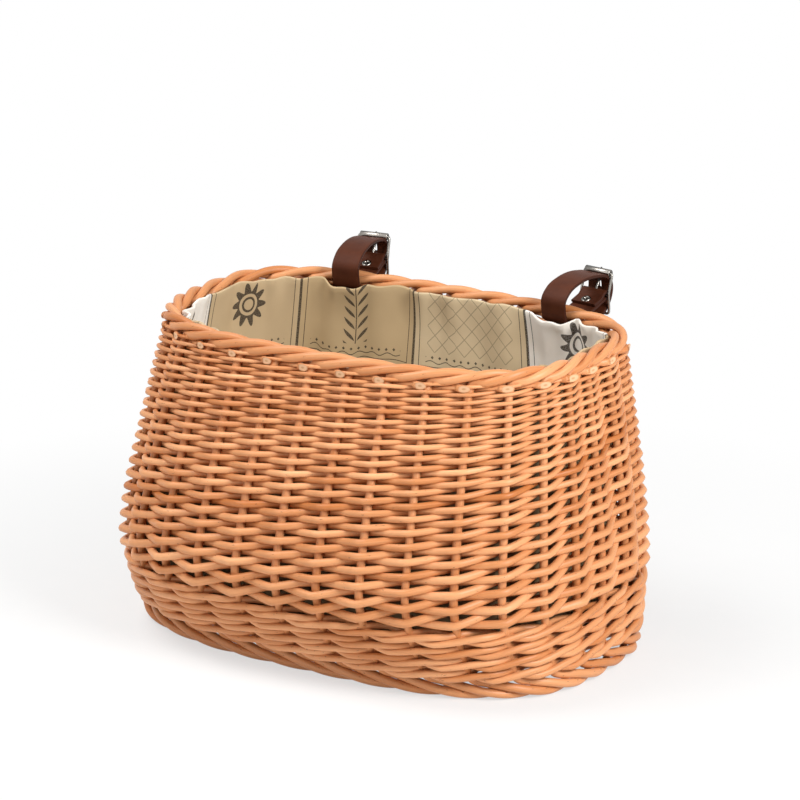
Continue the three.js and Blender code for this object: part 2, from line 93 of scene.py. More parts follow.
def wall_point(place, height):
    """A point of the wall. The place is counted in stakes, equally spaced round the belly from
    the front."""
    place, height = np.broadcast_arrays(np.asarray(place, float), np.asarray(height, float))
    angle = np.interp(np.mod(place, STAKES) / STAKES * belly_lengths[-1], belly_lengths, angles)
    plan = plan_point(wall_plan(height), angle) + MIDDLE
    return np.concatenate([plan, height[..., None]], -1)


def unit(vectors):
    return vectors / np.linalg.norm(vectors, axis=-1, keepdims=True)


def along_wall(place, height):
    """The direction round the wall, between two places close together."""
    return wall_point(place + NEAR_PLACE, height) - wall_point(place - NEAR_PLACE, height)


def level_outward(place, height):
    """The level direction out of the wall: the direction round it crossed with upwards."""
    return unit(np.cross(along_wall(place, height), UP))


def wall_outward(place, height):
    """The wall's own outward direction: the direction round it crossed with the one up it."""
    up_wall = wall_point(place, height + NEAR_HEIGHT) - wall_point(place, height - NEAR_HEIGHT)
    return unit(np.cross(along_wall(place, height), up_wall))


def beside(place, height, out, rise):
    """A point level with the wall's point at a height, moved out and up from it."""
    place = np.asarray(place, float)
    outward = level_outward(place, height) * np.asarray(out)[..., None]
    return wall_point(place, height) + outward + np.multiply.outer(rise, UP)


def smooth_line(points, count):
    """Equal steps of a smooth curve through the points: between two points, the cubic whose slopes
    are the chords across their neighbours, with the length so far as its parameter."""
    points = np.asarray(points, float)
    reach = np.concatenate([[0], np.cumsum(np.linalg.norm(np.diff(points, axis=0), axis=1))])
    slope = np.gradient(points, reach, axis=0)
    at = np.linspace(0, reach[-1], count)
    i = np.clip(np.searchsorted(reach, at, side="right") - 1, 0, len(reach) - 2)
    gap = (reach[i + 1] - reach[i])[:, None]
    s = (at - reach[i])[:, None] / gap
    start, end = points[i], points[i + 1]
    bend = (1 - s) * (slope[i] * gap - end + start) + s * (end - start - slope[i + 1] * gap)
    return (1 - s) * start + s * end + s * (1 - s) * bend


def tube_rings(lines, girths, facing, sides):
    """Rings round lines: a ring is its centre, plus the girth times the cosine of the turn along
    the facing direction, less its part along the line, and the sine of the turn along the
    direction across both."""
    along = unit(np.gradient(lines, axis=1))
    first = unit(facing - (facing * along).sum(-1, keepdims=True) * along)
    second = np.cross(along, first)
    turn = np.arange(sides) * 2 * np.pi / sides
    ring = np.cos(turn)[:, None] * first[:, :, None] + np.sin(turn)[:, None] * second[:, :, None]
    return lines[:, :, None] + girths[:, :, None, None] * ring


def add_piece(name, points, faces, flat_from=None):
    """A mesh piece from points and faces. Faces before flat_from are smooth."""
    mesh = bpy.data.meshes.new(name)
    mesh.from_pydata(points.reshape(-1, 3).tolist(), [], faces)
    smooth = np.ones(len(mesh.polygons), bool)
    smooth[flat_from if flat_from is not None else len(smooth):] = False
    mesh.polygons.foreach_set("use_smooth", smooth)
    mesh.update()
    piece = bpy.data.objects.new(name, mesh)
    bpy.context.scene.collection.objects.link(piece)
    return piece


def grid_faces(rows, columns, start=0):
    """Quads of a grid of points that closes along its second direction."""
    i, j = np.meshgrid(np.arange(rows - 1), np.arange(columns), indexing="ij")
    after = (j + 1) % columns
    here, there = i * columns, (i + 1) * columns
    corners = [here + j, here + after, there + after, there + j]
    return start + np.stack(corners, -1).reshape(-1, 4)


def end_caps(first, last, sides):
    """The two end faces of a tube, from the first points of its first and last rings."""
    return [list(range(first, first + sides))[::-1], list(range(last, last + sides))]


def add_values(mesh, key, values, kind="FLOAT", where="POINT", slot="value"):
    """A named attribute of a mesh."""
    attribute = mesh.attributes.new(key, kind, where)
    attribute.data.foreach_set(slot, np.ascontiguousarray(values, np.float32).ravel())


def willow_rods(name, lines, girths, facing, tones, sides, cut_slant=0.0):
    """Round rods with cut ends. The grain attribute is each point's place in its rod, two values
    across it and its length along it, and the last ring slants by a share of its own girth."""
    rods, stations = lines.shape[:2]
    rings = tube_rings(lines, girths, facing, sides)
    along = unit(np.gradient(lines, axis=1))
    turn = np.arange(sides) * 2 * np.pi / sides
    rings[:, -1] += along[:, -1, None] * (cut_slant * girths[:, -1, None] * np.cos(turn))[..., None]
    faces, caps = [], []
    for rod in range(rods):
        first = rod * stations * sides
        faces += grid_faces(stations, sides, first).tolist()
        caps += end_caps(first, first + (stations - 1) * sides, sides)
    piece = add_piece(name, rings, faces + caps, len(faces))
    step = np.linalg.norm(np.diff(lines, axis=1), axis=-1)
    length = np.concatenate([np.zeros((rods, 1)), np.cumsum(step, axis=1)], 1)
    length = length + GRAIN_APART * np.arange(rods)[:, None]
    across = girths[:, :, None] * np.ones(sides)
    grain = [across * np.cos(turn), across * np.sin(turn), length[:, :, None] * np.ones(sides)]
    add_values(piece.data, "grain", np.stack(grain, -1), "FLOAT_VECTOR", slot="vector")
    tones = np.broadcast_to(np.asarray(tones, float)[:, :, None], across.shape)
    add_values(piece.data, "tone", tones)
    add_values(piece.data, "cut", np.arange(len(faces) + len(caps)) >= len(faces), where="FACE")
    return piece


def put(socket, value):
    """Sets a socket to a constant, or links another node's output to it."""
    value = getattr(value, "socket", value)
    if isinstance(value, bpy.types.NodeSocket):
        socket.id_data.links.new(value, socket)
    else:
        socket.default_value = value


def node(tree, kind, **settings):
    """A shader node. Its properties are set by name and its inputs by index, as i0, i1, i2."""
    made = tree.nodes.new(kind)
    for key, value in settings.items():
        if key[0] == "i" and key[1:].isdigit():
            put(made.inputs[int(key[1:])], value)
        else:
            setattr(made, key, value)
    return made


class Value:
    """A number that a material's nodes work out, so that a pattern is written as plain sums."""

    def __init__(self, socket):
        self.socket = socket

    def step(self, operation, other=0.0):
        tree = self.socket.id_data
        made = node(tree, "ShaderNodeMath", operation=operation, i0=self, i1=other)
        return Value(made.outputs[0])

    def __add__(self, other):
        return self.step("ADD", other)

    def __sub__(self, other):
        return self.step("SUBTRACT", other)

    def __mul__(self, other):
        return self.step("MULTIPLY", other)

    def __truediv__(self, other):
        return self.step("DIVIDE", other)

    def __abs__(self):
        return self.step("ABSOLUTE")

    def __lt__(self, other):
        return self.step("LESS_THAN", other)

    def __gt__(self, other):
        return self.step("GREATER_THAN", other)


def new_finish(name):
    """A material with only its output and a principled shader."""
    material = bpy.data.materials.new(name)
    material.use_nodes = True
    return material, material.node_tree, material.node_tree.nodes["Principled BSDF"].inputs


def spread(value, low, high, to_low=0.0, to_high=1.0):
    """A value moved from one range into another, held at its ends."""
    tree = value.socket.id_data
    made = node(tree, "ShaderNodeMapRange", i0=value, i1=low, i2=high, i3=to_low, i4=to_high)
    return Value(made.outputs[0])


def blended(share, one, two):
    """Two colours mixed by a share."""
    tree = share.socket.id_data
    return node(tree, "ShaderNodeMix", data_type="RGBA", i0=share, i6=one, i7=two).outputs[2]


def read(tree, key, output=2):
    """A named attribute of the mesh: output 1 is its vector and output 2 its number."""
    return Value(node(tree, "ShaderNodeAttribute", attribute_name=key).outputs[output])


def noise(vector, sizes, detail=3.0):
    """Noise with its own scale along each axis."""
    tree = vector.socket.id_data
    moved = node(tree, "ShaderNodeVectorMath", operation="MULTIPLY", i0=vector, i1=sizes)
    made = node(tree, "ShaderNodeTexNoise", i0=moved.outputs[0], i2=1.0, i3=detail)
    return Value(made.outputs[0])


def relief(inputs, height, strength, depth):
    """Small relief that only the light sees."""
    bump = node(height.socket.id_data, "ShaderNodeBump")
    put(bump.inputs["Strength"], strength)
    put(bump.inputs["Distance"], depth)
    put(bump.inputs["Height"], height)
    put(inputs["Normal"], bump.outputs[0])


SPECK = (0.12, 0.04, 0.015, 1)
PITH = (0.54, 0.29, 0.14, 1)
CUT_WOOD = (0.74, 0.44, 0.25, 1)
CUT_RIM = (0.66, 0.34, 0.16, 1)


def willow_finish(name, light, dark):
    """Peeled and steamed willow: streaks along the rod, blotches a hand's breadth long, a tone of
    its own for each rod, small brown specks, and dark pith in pale wood where a rod is cut."""
    material, tree, inputs = new_finish(name)
    grain = read(tree, "grain", 1)
    streaks = noise(grain, (900, 900, 26), 4)
    share = streaks * 0.5 + noise(grain, (70, 70, 14), 2) * 0.7 + read(tree, "tone")
    colour = blended(spread(share, 0.2, 1.0), dark, light)
    specks = spread(noise(grain, (620, 620, 260), 2), 0.69, 0.75, 0.0, 0.6)
    colour = blended(specks, colour, SPECK)
    apart = node(tree, "ShaderNodeSeparateXYZ", i0=grain)
    x, y = Value(apart.outputs[0]), Value(apart.outputs[1])
    radius = (x * x + y * y).step("SQRT")
    wood = blended(spread(radius, 0.0005, 0.0011), PITH, CUT_WOOD)
    wood = blended(spread(radius, 0.0021, 0.0026), wood, CUT_RIM)
    put(inputs["Base Color"], blended(read(tree, "cut"), colour, wood))
    put(inputs["Roughness"], spread(streaks, 0.3, 0.7, 0.36, 0.52))
    inputs["Specular IOR Level"].default_value = 0.36
    relief(inputs, streaks, 0.35, 0.0003)
    return material


willow = willow_finish("peeled_willow", (0.79, 0.388, 0.18, 1), (0.49, 0.162, 0.041, 1))

FOOT_TWIST = 0.0050
FOOT_MIDDLE = FOOT_TWIST + FOOT_GIRTH
BORDER_TWIST = 0.0039
BORDER_START = 0.08
BORDER_END = 2.52
BORDER_RUN_ON = 2.95
STRAP_PLACES = (12.5, 18.5)
STRAP_REACH = 0.9
TIP_MIDDLE = 2.76
TIP_PLACES = np.array([2.65, 2.77, 2.88])
TIP_OUT = np.array([0.0010, 0.0052, 0.0084])
TIP_RISE = np.array([-0.0066, -0.0066, -0.0062])
TIP_STATIONS = 8
CUT_SLANT = -1.6
STATIONS = 150
SPINE_REACH = 0.09
stake_heights = np.concatenate([[0.0185, 0.022], np.linspace(0.03, 0.2375, 15)])
foot_places = np.linspace(2.5, 0.3, 12)
foot_turn = np.radians(95 - 92 * foot_places)
foot_out, foot_rise = FOOT_TWIST * np.cos(foot_turn), FOOT_TWIST * np.sin(foot_turn)

for index in range(STAKES):
    under_strap = min(abs(index + TIP_MIDDLE - place) for place in STRAP_PLACES) < STRAP_REACH
    border_places = np.linspace(BORDER_START, BORDER_RUN_ON if under_strap else BORDER_END, 13)
    turn = np.radians(120 * border_places - 90)
    out, rise = BORDER_TWIST * np.cos(turn), BORDER_TWIST * np.sin(turn)
    parts = [
        beside(index + foot_places, FOOT_MIDDLE, foot_out, foot_rise),
        wall_point(index, stake_heights),
        beside(index + border_places, RIM_HEIGHT, out, rise),
    ]
    if not under_strap:
        parts.append(beside(index + TIP_PLACES, RIM_HEIGHT, TIP_OUT, TIP_RISE))
    line = smooth_line(np.concatenate(parts), STATIONS)
    height = line[:, 2]
    upper = np.interp(height, [0.236, 0.246], [STAKE_GIRTH, BORDER_GIRTH])
    lower = np.interp(height, [0.014, 0.022], [FOOT_GIRTH, STAKE_GIRTH])
    girth = np.where(height > BELLY_HEIGHT, upper, lower)
    girth[-TIP_STATIONS:] = np.linspace(girth[-TIP_STATIONS], TIP_GIRTH, TIP_STATIONS)
    girth = girth * (1 + 0.05 * dice.uniform(-1, 1))
    spine_x = np.clip(line[:, 0], -SPINE_REACH, SPINE_REACH)
    outward = unit(line - np.stack([spine_x, np.full(STATIONS, MIDDLE[1]), height], -1))
    tone = np.full(STATIONS, dice.normal(0, 0.13))
    name = f"willow_stake_{index + 1:02d}"
    rod = [values[None] for values in (line, girth, outward, tone)]
    stake = willow_rods(name, *rod, ROD_SIDES, CUT_SLANT)
    stake.data.materials.append(willow)
    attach(stake, "basket")
    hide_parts(f"stake_{index + 1:02d}")

# Wale: three stouter rods that bind the foot of the side together. They go round four times, each
# in front of two stakes and behind the third, and each comes out under the one before it. The
# rounds are lower at the right than at the left, the lowest round most.
WALE_GIRTH = 0.00275
WALE_PLAY = 0.0001
WALE_ROUNDS = 4
ROUND_RISE = 0.0108
WALE_BOTTOM = 0.0272
WALE_START = 15.5
WALE_TILT = 0.016
TILT_LOSS = 0.2
STEP_UP_STAKES = 4
STEPS_PER_STAKE = 9
wale_run = np.arange(0, WALE_ROUNDS * STAKES * STEPS_PER_STAKE + 1) / STEPS_PER_STAKE
wale_out = np.array([-1.0, 1.0, 1.0]) * (STAKE_GIRTH + WALE_GIRTH + WALE_PLAY)
wale_lift = np.array([0.0, -0.26, 0.26]) * ROUND_RISE


def wound(values, phase):
    """Values at the stakes of a cycle of three, joined by cosine steps that leave each stake
    nearly level."""
    i = np.floor(phase).astype(int)
    s = phase - i
    s = 0.45 * s + 0.55 * (0.5 - 0.5 * np.cos(np.pi * s))
    return values[i % 3] * (1 - s) + values[(i + 1) % 3] * s


def wandering(place, gap, size):
    """A value that changes slowly along a rod, drawn anew at each gap and joined by straight
    lines."""
    knots = np.arange(0, place.max() + gap, gap)
    return np.interp(place, knots, dice.normal(0, size, len(knots)))


for index in range(3):
    place = WALE_START + wale_run
    phase = np.mod(place - 0.5 - index, 3)
    rounds, within = np.divmod(wale_run, STAKES)
    step_up = np.clip((within - (STAKES - STEP_UP_STAKES)) / STEP_UP_STAKES, 0, 1)
    climb = np.minimum(rounds + step_up**2 * (3 - 2 * step_up), WALE_ROUNDS - 1)
    height = WALE_BOTTOM + ROUND_RISE * climb + wound(wale_lift, phase)
    height = height + wandering(place, 1, 0.00025)
    height = height - WALE_TILT * (1 - TILT_LOSS * climb) * wall_point(place, height)[:, 0]
    outward = wall_outward(place, height)
    line = wall_point(place, height) + outward * wound(wale_out, phase)[:, None]
    girth = WALE_GIRTH * (1 + wandering(place, 5, 0.04))
    tone = wandering(place, 6, 0.14)
    rod = [values[None] for values in (line, girth, outward, tone)]
    wale = willow_rods(f"wale_rod_{index + 1}", *rod, ROD_SIDES)
    wale.data.materials.append(willow)
    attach(wale, "basket")
    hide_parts(f"wale_{index + 1}")

# Side weave: thirty-one tapering rods, one begun behind each stake with its thick end. All climb
# together, in front of one stake and behind the next, a row higher at each, and end in thin tips
# under the border. Each nests between its neighbours, lower where it is in front of a stake.
LEVELS = 42
STEPS_PER_LEVEL = 8
RUN_ON = 6
WEAVE_BOTTOM = 0.0665
WEAVE_TOP = 0.2459
TIGHTENING = 0.42
LEAST_GAP = 0.0024
GIRTH_SHARE = 0.57
SHARPNESS = 0.996
NESTING = 0.20
NESTING_LEVELS = 4
WEAVE_SIDES = 9


def over_under(turn, sharpness):
    """A wave between one and minus one: the arcsine of the sharpness times the cosine of the turn,
    over its greatest value. It runs nearly straight from bend to bend."""
    return np.arcsin(sharpness * np.cos(turn)) / np.arcsin(sharpness)


level = np.arange(LEVELS * STEPS_PER_LEVEL + RUN_ON) / STEPS_PER_LEVEL


def each_wandering(gap, size):
    """A slow change along the rod for each rod of the weave."""
    return np.stack([wandering(level, gap, size) for _ in range(STAKES)])


climb = np.minimum(level / LEVELS, 1)
row_height = WEAVE_BOTTOM + (WEAVE_TOP - WEAVE_BOTTOM) * climb * (1 + TIGHTENING * (1 - climb))
row_gap = np.maximum(np.gradient(row_height, level), LEAST_GAP)
row_girth = GIRTH_SHARE * row_gap
row_wave = -over_under(np.pi * level, SHARPNESS)
place = np.arange(STAKES)[:, None] + level
nesting = NESTING * np.clip(level / NESTING_LEVELS, 0.2, 1)
weave_height = row_height - nesting * row_gap * row_wave + each_wandering(1, 0.0003)
weave_girth = row_girth * (1 + each_wandering(1, 0.04))
weave_tone = dice.normal(0, 0.15, (STAKES, 1)) + each_wandering(2, 0.08)
outward = wall_outward(place, weave_height)
weave_out = row_wave * (STAKE_GIRTH + weave_girth)
weave_lines = wall_point(place, weave_height) + outward * weave_out[..., None]
weave = willow_rods("side_weave_rods", weave_lines, weave_girth, outward, weave_tone, WEAVE_SIDES)
weave.data.materials.append(willow)
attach(weave, "basket")
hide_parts("side_weave")

# Base: five stout sticks with thin rods woven across them, from the front edge to the back and
# held at the edge by the wale.
STICK_GIRTH = 0.003
STICK_SPACING = 0.030
STICK_LENGTH = 0.3208
STICK_STATIONS = 24
STICKS_FORWARD = 0.021
BASE_HEIGHT = 0.020
stick_across = MIDDLE[1] - STICKS_FORWARD + STICK_SPACING * np.arange(-2, 3)

for index in range(5):
    run = np.linspace(-0.5, 0.5, STICK_STATIONS)
    along, height = MIDDLE[0] + STICK_LENGTH * run, np.full(STICK_STATIONS, BASE_HEIGHT)
    line = np.stack([along, np.full(STICK_STATIONS, stick_across[index]), height], -1)
    girth = STICK_GIRTH * (1 + 0.05 * np.sin(9 * run + index))
    tone = np.full(STICK_STATIONS, dice.normal(-0.05, 0.1))
    rod = [values[None] for values in (line, girth, np.broadcast_to(UP, line.shape), tone)]
    stick = willow_rods(f"base_stick_rod_{index + 1}", *rod, ROD_SIDES)
    stick.data.materials.append(willow)
    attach(stick, "basket")
    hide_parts(f"base_stick_{index + 1}")

MAT_GIRTH = 0.0017
MAT_PITCH = 2.15 * MAT_GIRTH
MAT_REACH = 0.184
MAT_STATIONS = 44
MAT_SHARPNESS = 0.9
MAT_SIDES = 7
EDGE_STEPS = 1241
EDGE_HEIGHT = 0.018
EDGE_INSET = 0.0085
mat_x = np.arange(-MAT_REACH, MAT_REACH + 0.0001, MAT_PITCH)
edge_places = np.linspace(0, STAKES, EDGE_STEPS)
edge_out = level_outward(edge_places, np.full(EDGE_STEPS, EDGE_HEIGHT))
edge = wall_point(edge_places, EDGE_HEIGHT) - EDGE_INSET * edge_out
mat_ends = []
for half in (edge[edge[:, 1] < MIDDLE[1]], edge[edge[:, 1] >= MIDDLE[1]]):
    order = np.argsort(half[:, 0])
    mat_ends.append(np.interp(mat_x, half[order, 0], half[order, 1]))
mat_y = np.linspace(*mat_ends, MAT_STATIONS).T
over = np.where(np.arange(len(mat_x)) % 2 == 0, 1.0, -1.0)[:, None]
weaving = over_under(np.pi * (mat_y - stick_across[0]) / STICK_SPACING, MAT_SHARPNESS)
mat_z = BASE_HEIGHT + over * (STICK_GIRTH + MAT_GIRTH) * weaving
mat_lines = np.stack([np.broadcast_to(mat_x[:, None], mat_y.shape), mat_y, mat_z], -1)
mat_girth = np.full(mat_y.shape, MAT_GIRTH)
tone = np.broadcast_to(dice.normal(0, 0.15, (len(mat_x), 1)), mat_y.shape)
facing = np.broadcast_to(ACROSS, mat_lines.shape)
mat = willow_rods("base_mat_rods", mat_lines, mat_girth, facing, tone, MAT_SIDES)
base_willow = willow_finish("base_willow_rods", (0.70, 0.36, 0.17, 1), (0.44, 0.17, 0.055, 1))
mat.data.materials.append(base_willow)
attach(mat, "basket")
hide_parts("base_panel")

# Lining: a printed cotton bag, a band gathered into a rolled hem and sewn to a floor. It hangs
# just inside the weave, is caught to the rim at the stakes and puckers between them. At the straps
# it is lower and further in, so that they can swing.
COLUMNS_PER_STAKE = 16
COLUMNS = STAKES * COLUMNS_PER_STAKE
FLOOR_HEIGHT = 0.0273
LINING_CLEAR = 0.0090
CORNER_ROLL = 0.007
CORNER_ROWS = 6
BAG_ROWS = 45
HEM_HEIGHT = 0.2491
HEM_RIPPLE = 0.0008
HEM_ROLL = 0.0011
STRAP_SPAN = 0.54
STRAP_HEM = 0.2444
STRAP_HEM_RIPPLE = 0.0004
STRAP_INSET = 0.0180
STRAP_FADE = 0.02
FOLDS_FROM = 0.03
SLACK = 0.0035
SOFT_FOLD = 0.0018
PUCKER = 0.0016
PUCKER_FADE = 0.018
COTTON_THICKNESS = 0.0005
lining_place = np.arange(COLUMNS) / COLUMNS_PER_STAKE


def ripples(place, height, cycles, slant):
    """Soft folds: a sum of cosines round the wall, each with its own start and its own slant with
    height."""
    starts = dice.uniform(0, 2 * np.pi, len(cycles))
    slants = dice.uniform(-slant, slant, len(cycles))
    waves = [
        np.cos(2 * np.pi * cycle * place / STAKES + start + slope * height)
        for cycle, start, slope in zip(cycles, starts, slants)
    ]
    return np.sum(waves, axis=0) / np.sqrt(len(cycles))


strap_away = np.abs(np.subtract.outer(lining_place, STRAP_PLACES)).min(axis=1)
near_strap = np.exp(-((strap_away / STRAP_SPAN) ** 6))
hem = HEM_HEIGHT + HEM_RIPPLE * ripples(lining_place, 0.0, [7, 12, 19, 29, 41], 0)
strap_hem = STRAP_HEM + STRAP_HEM_RIPPLE * np.cos(4 * np.pi * lining_place)
hem = hem * (1 - near_strap) + near_strap * strap_hem
rolled = np.linspace(0, 0.5 * np.pi, CORNER_ROWS)
corner_height = FLOOR_HEIGHT + CORNER_ROLL * (1 - np.cos(rolled))
bag_share = np.linspace(0, 1, BAG_ROWS + 1)[1:] ** 0.9
bag_height = corner_height[-1] + (hem[:, None] - corner_height[-1]) * bag_share
height = np.concatenate([np.broadcast_to(corner_height, (COLUMNS, CORNER_ROWS)), bag_height], 1)
place = np.broadcast_to(lining_place[:, None], height.shape)
below_hem = hem[:, None] - height
slack = SLACK * np.sin(np.pi * np.clip((height - FOLDS_FROM) / 0.19, 0, 1))
soft = SOFT_FOLD * (1.3 + ripples(place, height, [5, 9, 14, 19, 26], 34))
soft = soft * np.clip((height - FOLDS_FROM) / 0.05, 0, 1)
gathers = 0.7 - 0.5 * np.cos(2 * np.pi * place)
gathers = gathers + 1.1 * ripples(place, height, [13, 19, 27, 37, 44], 60)
pucker = PUCKER * np.exp(-below_hem / PUCKER_FADE) * gathers
inset = LINING_CLEAR + slack + np.clip(soft, 0, None) + np.clip(pucker, 0, None)
inset[:, :CORNER_ROWS] += CORNER_ROLL * (1 - np.sin(rolled))
short_of = np.clip(STRAP_INSET - inset, 0, None)
inset += near_strap[:, None] * short_of * np.exp(-below_hem / STRAP_FADE)
lean = np.linalg.norm(wall_outward(place, height)[..., :2], axis=-1)
bag = wall_point(place, height) - level_outward(place, height) * (inset / lean)[..., None]
roll = np.linspace(0, np.pi, 7)[1:, None]
hem_out = level_outward(lining_place, hem)[:, None]
over = bag[:, -1:] + HEM_ROLL * ((1 - np.cos(roll)) * hem_out + np.sin(roll) * UP)
tucked = over[:, -1:] - np.linspace(0.0015, 0.006, 4)[:, None] * UP
lining_grid = np.concatenate([bag, over, tucked], 1)
lining_points = np.ascontiguousarray(lining_grid.transpose(1, 0, 2))
faces = grid_faces(len(lining_points), COLUMNS)[:, ::-1]
lining = add_piece("lining_band", lining_points, faces.tolist())


def lay_print(cloth, corners):
    """Gives each corner of a cloth's faces its place on the print, in metres."""
    places = cloth.data.uv_layers.new(name="print").data
    places.foreach_set("uv", corners.astype(np.float32).ravel())


def thicken(cloth):
    """Gives a sheet the cotton's thickness, half of it to each side."""
    thick = cloth.modifiers.new("cloth", "SOLIDIFY")
    thick.thickness = COTTON_THICKNESS
    thick.offset = 0.0


rise = np.linalg.norm(np.diff(lining_grid, axis=1), axis=-1).mean(0)
band_height = np.concatenate([[0], np.cumsum(rise)])
row, column = np.divmod(faces, COLUMNS)
closing = (column == 0) & (column.max(axis=1, keepdims=True) == COLUMNS - 1)
column = np.where(closing, COLUMNS, column)
lay_print(lining, np.stack([column / COLUMNS * belly_lengths[-1], band_height[row]], -1))

PATCH_WIDTH = 0.1181
PATCH_HEIGHT = 0.098
PATCH_SHIFT = 0.047
PATCH_DROP = 0.033
LEAF_STEP = 0.0105
TRELLIS_MESH = 0.015
BEAD_STEP = 0.0072
THREADS = 9000.0
# Painted shade: below this height, the side of the bag towards the willow is painted dark brown.
REVERSE_SHADE_TOP = 0.238
CREAM = (0.66, 0.52, 0.33, 1)
TAN = (0.53, 0.385, 0.215, 1)
STRAW = (0.60, 0.45, 0.27, 1)
OFF_WHITE = (0.92, 0.87, 0.80, 1)
AGED = (0.40, 0.28, 0.15, 1)
INK = (0.040, 0.030, 0.024, 1)
THREAD_SHADE = (0.30, 0.24, 0.16, 1)
# Painted shade: a dark brown for the side of the bag towards the willow. It stands for the shade
# seen in the gaps of the weave.
REVERSE_PAINTED_SHADE = (0.20, 0.145, 0.08, 1)


def cotton_finish():
    """Printed cotton over a fine plain weave, worked out from the band's own flat measure: cream
    panels with a trellis, tan ones with a leaf sprig, straw and off-white ones with a rosette, all
    with dark rules, beads and garlands. The back of the cloth, towards the willow, is plain. Below
    the hem it is painted dark brown: painted shade that stands for the shade in the gaps of the
    weave."""
    material, tree, inputs = new_finish("printed_cotton")
    flat = Value(node(tree, "ShaderNodeUVMap", uv_map="print").outputs[0])
    apart = node(tree, "ShaderNodeSeparateXYZ", i0=flat)
    u, v = Value(apart.outputs[0]), Value(apart.outputs[1])
    up_band = (v + PATCH_DROP) / PATCH_HEIGHT
    row = up_band.step("FLOOR")
    round_band = (u + row * PATCH_SHIFT) / PATCH_WIDTH
    x = (round_band.step("FRACT") - 0.5) * PATCH_WIDTH
    y = (up_band.step("FRACT") - 0.5) * PATCH_HEIGHT
    kind = ((round_band.step("FLOOR") + row * 2.0 + 3.0) / 4.0).step("FRACT") * 4.0
    ground = blended(kind > 0.5, CREAM, TAN)
    ground = blended(kind > 1.5, ground, STRAW)
    ground = blended(kind > 2.5, ground, OFF_WHITE)
    age = spread(noise(flat, (28, 28, 28), 3), 0.35, 0.75, 0.0, 0.22)
    ground = blended(age, ground, AGED)
    edge = (abs(x) * -1.0 + 0.5 * PATCH_WIDTH).step("MINIMUM", abs(y) * -1.0 + 0.5 * PATCH_HEIGHT)
    rules = (edge < 0.0013).step("MAXIMUM", abs(edge - 0.0062) < 0.00035)
    radius = (x * x + y * y).step("SQRT")
    petals = (y.step("ARCTAN2", x) * 10.0).step("COSINE") * 0.0042 + 0.0165
    rosette = ((radius < petals) * (radius > 0.0102)).step("MAXIMUM", abs(radius - 0.0062) < 0.0011)
    climb = ((y + 0.5) / LEAF_STEP).step("FRACT")
    leaf = abs(abs(x) - climb * 0.011 - 0.0012) < (climb * np.pi).step("SINE") * 0.0024
    sprig = leaf.step("MAXIMUM", abs(x) < 0.0005) * (abs(y) < 0.030)
    one, two = ((x + y) / TRELLIS_MESH).step("FRACT"), ((x - y) / TRELLIS_MESH).step("FRACT")
    lattice = (abs(one - 0.5) < 0.035).step("MAXIMUM", abs(two - 0.5) < 0.035)
    trellis = lattice * (abs(x) < 0.045) * (abs(y) < 0.030)
    along_row = abs((x / BEAD_STEP).step("FRACT") - 0.5)
    beads = along_row + abs(abs(y) - 0.0345) / BEAD_STEP < 0.2
    garland = abs(abs(y) - 0.0385 - (x * 420.0).step("SINE") * 0.0011) < 0.0004
    rules = rules.step("MAXIMUM", beads.step("MAXIMUM", garland) * (abs(x) < 0.046))
    motif = (rosette * (kind > 1.5)).step("MAXIMUM", sprig * (abs(kind - 1.0) < 0.5))
    ink = motif.step("MAXIMUM", trellis * (kind < 0.5) * 0.5).step("MAXIMUM", rules)
    faded = ink * spread(noise(flat, (900, 900, 900), 2), 0.3, 0.6, 0.74, 0.97)
    colour = blended(faded, ground, INK)
    threads = (u * THREADS).step("SINE") * (v * THREADS).step("SINE")
    colour = blended(spread(threads, -1.0, 1.0, 0.0, 0.10), colour, THREAD_SHADE)
    where = node(tree, "ShaderNodeTexCoord").outputs["Object"]
    height = Value(node(tree, "ShaderNodeSeparateXYZ", i0=where).outputs[2])
    middle = (*MIDDLE, 0.15)
    arm = node(tree, "ShaderNodeVectorMath", operation="SUBTRACT", i0=where, i1=middle).outputs[0]
    normal = node(tree, "ShaderNodeNewGeometry").outputs["Normal"]
    facing = node(tree, "ShaderNodeVectorMath", operation="DOT_PRODUCT", i0=normal, i1=arm)
    # Painted shade: the side towards the willow, below the hem, turns dark brown. It stands for the
    # shade behind the weave.
    reverse_shade_mask = (Value(facing.outputs["Value"]) > 0.0) * (height < REVERSE_SHADE_TOP)
    put(inputs["Base Color"], blended(reverse_shade_mask, colour, REVERSE_PAINTED_SHADE))
    inputs["Roughness"].default_value = 0.95
    inputs["Specular IOR Level"].default_value = 0.1
    relief(inputs, threads * 0.25 + noise(flat, (120, 120, 120), 4), 0.3, 0.0004)
    return material


cotton = cotton_finish()
lining.data.materials.append(cotton)
thicken(lining)
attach(lining, "basket")
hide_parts("lining_wall")

FLOOR_RINGS = 16
ring_share = np.linspace(0, 1, FLOOR_RINGS + 1)[1:]
edge = lining_grid[:, 0]
centre = edge.mean(0)
dimple = 0.0005 * np.sin(np.pi * ring_share)[:, None]
dimple = dimple * ripples(lining_place, ring_share[:, None], [3, 5, 8], 6)
floor_grid = centre + ring_share[:, None, None] * (edge - centre) + dimple[..., None] * UP
points = np.concatenate([floor_grid.reshape(-1, 3), centre[None]])
columns = np.arange(COLUMNS)
hub = np.stack([np.full(COLUMNS, len(points) - 1), columns, (columns + 1) % COLUMNS], -1)
rings = grid_faces(FLOOR_RINGS, COLUMNS)[:, [0, 3, 2, 1]]
lining_floor = add_piece("lining_floor_cloth", points, rings.tolist() + hub.tolist())
lay_print(lining_floor, points[np.concatenate([rings.ravel(), hub.ravel()]), :2] + 0.3)
lining_floor.data.materials.append(cotton)
thicken(lining_floor)
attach(lining_floor, "basket")
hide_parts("lining_floor")

